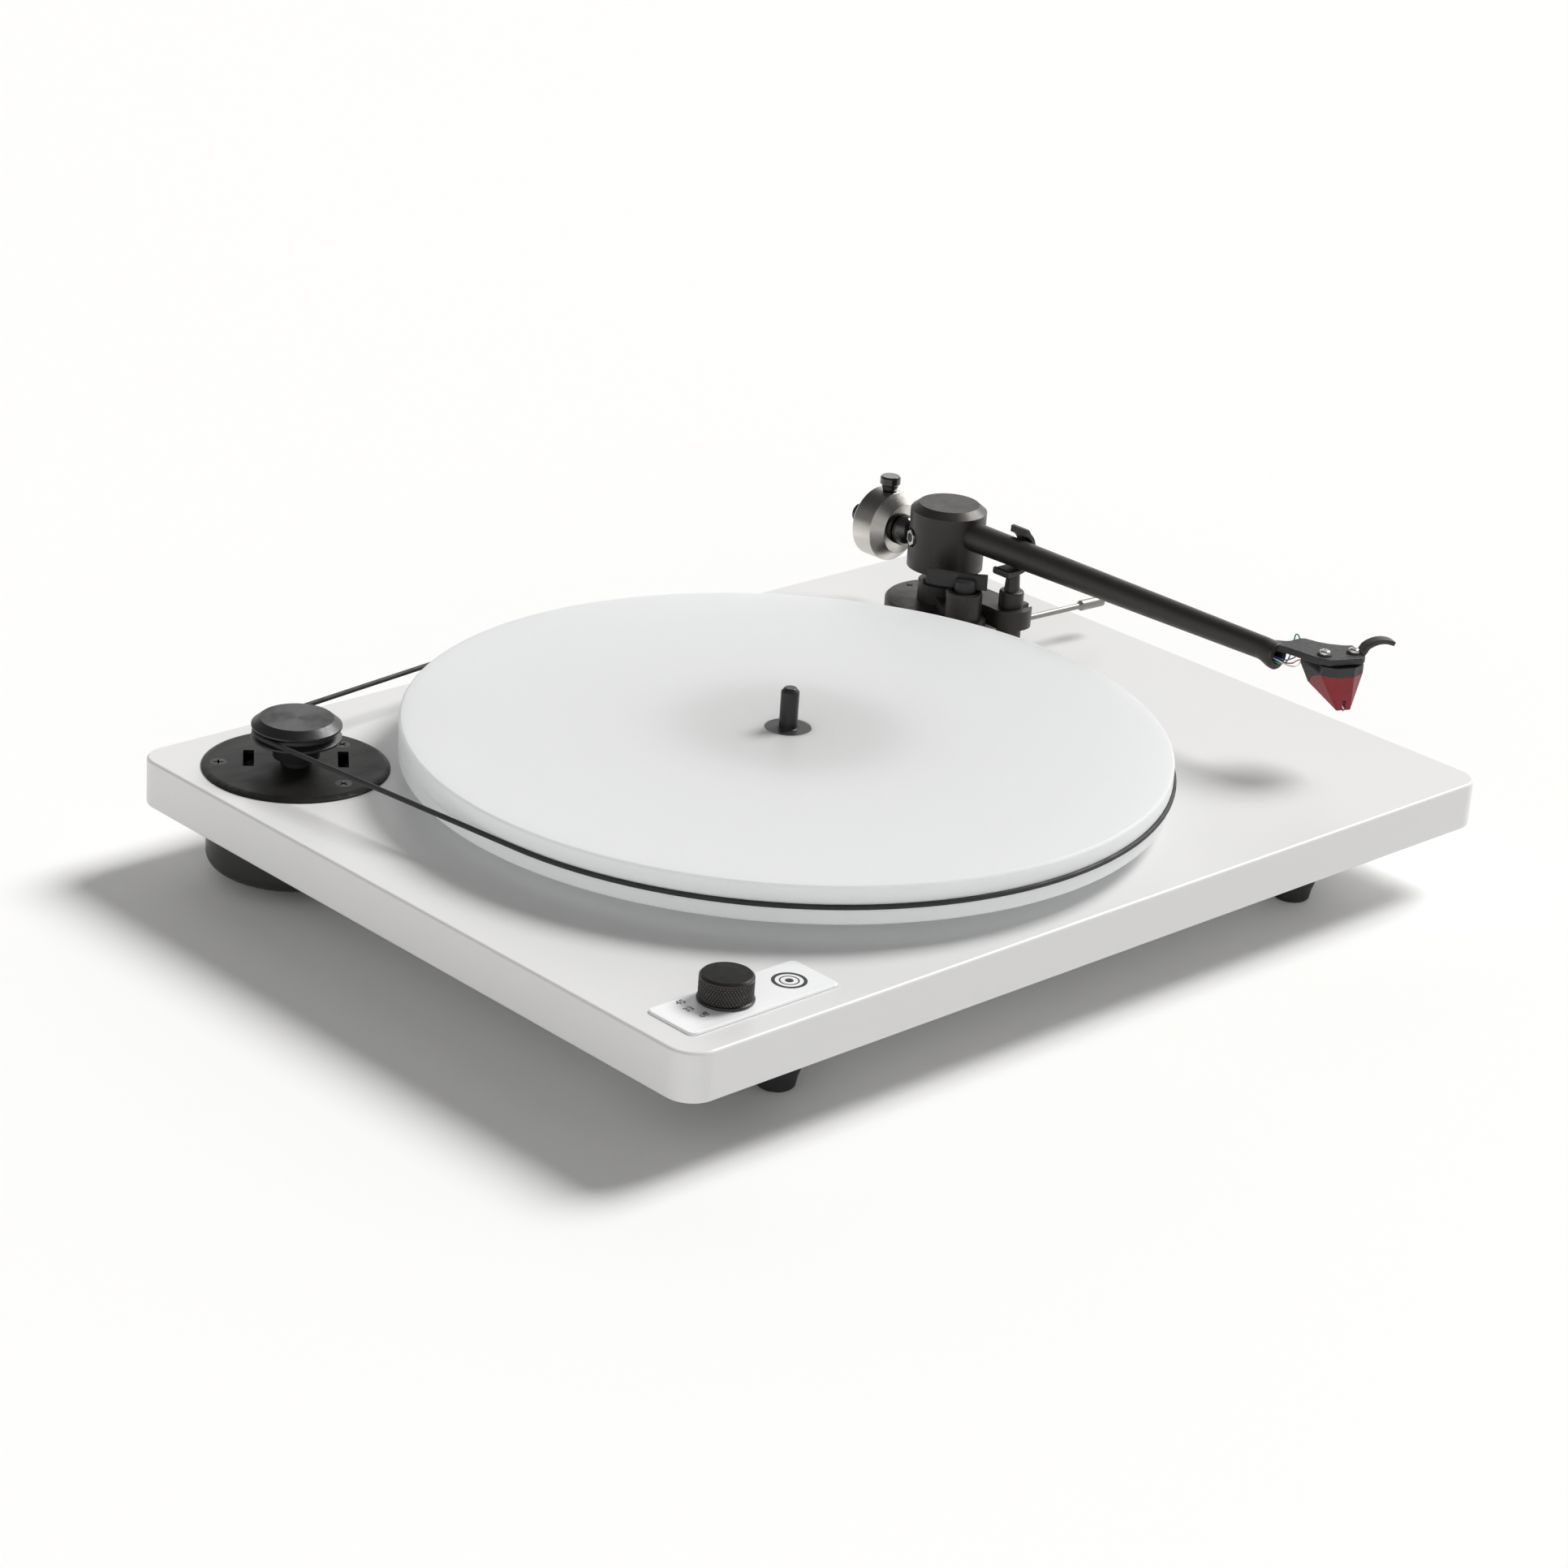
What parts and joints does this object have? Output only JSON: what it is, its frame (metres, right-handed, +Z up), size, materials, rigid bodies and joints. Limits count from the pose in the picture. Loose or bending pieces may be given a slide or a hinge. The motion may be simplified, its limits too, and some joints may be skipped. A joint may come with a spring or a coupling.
{
  "type": "turntable record player",
  "caption": "Belt-drive turntable record player with a board plinth, rubber feet, outboard motor and pulley, platter with spindle, speed knob and pivoted tonearm with cueing lift.",
  "frame": {"origin": "centre of the object's bounding box in plan, on the plane the feet stand on", "axes": "+X to the right, +Y to the rear, +Z up, seen by someone facing the front edge"},
  "size_m": [0.42, 0.315, 0.0996],
  "materials": {
    "white_lacquer": "satin lacquered board",
    "frosted_acrylic": "frosted acrylic, satin",
    "black_plastic": "satin moulded",
    "black_rubber": "matte",
    "black_anodised": "fine blasted and black anodised",
    "silver_anodised": "brushed and clear anodised",
    "steel": "ground and polished",
    "black_steel": "black oxide",
    "brass": "turned",
    "gold_plate": "gold plated",
    "carbon_tube": "satin composite tube",
    "gloss_black": "glossy moulded",
    "red_plastic": "transparent red moulding",
    "circuit_board": "solder-masked laminate",
    "wire_sheath": "thin coloured sheath"
  },
  "bodies": {
    "base": {"plinth": "white_lacquer", "foot_front_left": "black_rubber", "foot_front_right": "black_rubber", "foot_rear": "black_rubber", "foot_screws": "steel", "control_panel": "silver_anodised", "rotary_switch": "black_plastic", "control_board": "circuit_board", "electronics_cover": "black_plastic", "cover_screws": "black_steel", "motor_plate": "black_plastic", "motor_plate_screws": "black_steel", "motor_body": "black_steel", "motor_can": "black_plastic", "motor_can_screw": "steel", "drive_belt": "black_rubber", "bearing_bush": "brass", "bearing_ball": "steel", "bearing_screws": "steel", "arm_base": "black_anodised", "arm_base_screws": "black_steel", "pivot_pillar": "black_anodised", "pivot_bearings": "steel", "rest_bracket": "black_plastic", "bracket_grub_screw": "black_steel", "rest_post": "black_plastic", "rest_clip": "black_plastic", "lift_cylinder": "black_plastic", "lever_pin": "steel", "terminal_box": "black_plastic", "terminal_box_screws": "steel", "phono_sockets": "gold_plate", "power_socket": "black_plastic", "ground_post": "gold_plate", "plinth_wiring": "black_plastic"},
    "platter": {"platter": "frosted_acrylic", "platter_hub": "black_anodised", "spindle": "black_steel", "spindle_collar": "black_plastic"},
    "pulley": {"pulley": "black_anodised", "pulley_grub_screw": "black_steel", "motor_shaft": "steel"},
    "knob": {"speed_knob": "black_anodised", "switch_shaft": "steel"},
    "yoke": {"arm_yoke": "steel"},
    "arm": {"pivot_housing": "black_anodised", "tilt_screws": "steel", "tilt_nuts": "steel", "arm_tube": "carbon_tube", "headshell": "black_anodised", "cartridge_body": "black_plastic", "stylus_unit": "red_plastic", "cartridge_washers": "black_plastic", "cartridge_screws": "steel", "signal_wires": "wire_sheath", "weight_stub": "gloss_black"},
    "weight": {"counterweight": "steel"},
    "thumbscrew": {"weight_thumbscrew": "black_plastic"},
    "lever": {"cue_lever": "steel"},
    "lift": {"lift_platform": "black_plastic"}
  },
  "joints": [
    {"name": "platter_spin", "type": "hinge", "parent": "base", "child": "platter", "pos_m": [-0.0235, -0.0025, 0.052], "axis": [0, 0, 1], "continuous": true},
    {"name": "pulley_spin", "type": "hinge", "parent": "base", "child": "pulley", "pos_m": [-0.168, 0.113, 0.052], "axis": [0, 0, 1], "continuous": true},
    {"name": "knob_turn", "type": "hinge", "parent": "base", "child": "knob", "pos_m": [-0.1715, -0.1321, 0.045], "axis": [0, 0, -1], "range_deg": [0, 44.5]},
    {"name": "arm_swing", "type": "hinge", "parent": "base", "child": "yoke", "pos_m": [0.1514, 0.0882, 0.083], "axis": [0, 0, -1], "range_deg": [0, 54]},
    {"name": "arm_tilt", "type": "hinge", "parent": "yoke", "child": "arm", "pos_m": [0.1514, 0.0882, 0.083], "axis": [-0.915, 0.4035, 0], "range_deg": [-0.8, 1.8]},
    {"name": "weight_slide", "type": "slide", "parent": "arm", "child": "weight", "axis": [-0.0209, 0.9998, 0], "range_m": [0, 0.008]},
    {"name": "thumbscrew_turn", "type": "hinge", "parent": "weight", "child": "thumbscrew", "pos_m": [0.15067, 0.12299, 0.097], "axis": [0, 0, 1], "range_deg": [0, 180]},
    {"name": "lever_turn", "type": "hinge", "parent": "base", "child": "lever", "pos_m": [0.1584, 0.0466, 0.0574], "axis": [0, -1, 0], "range_deg": [0, 55]},
    {"name": "lift_slide", "type": "slide", "parent": "base", "child": "lift", "axis": [0, 0, 1], "range_m": [0, 0.0027]}
  ],
  "couplings": [
    {"joint": "pulley_spin", "follows": "platter_spin", "ratio": 9.3228},
    {"joint": "lever_turn", "follows": "lift_slide", "rad_per_m": 355.49}
  ]
}
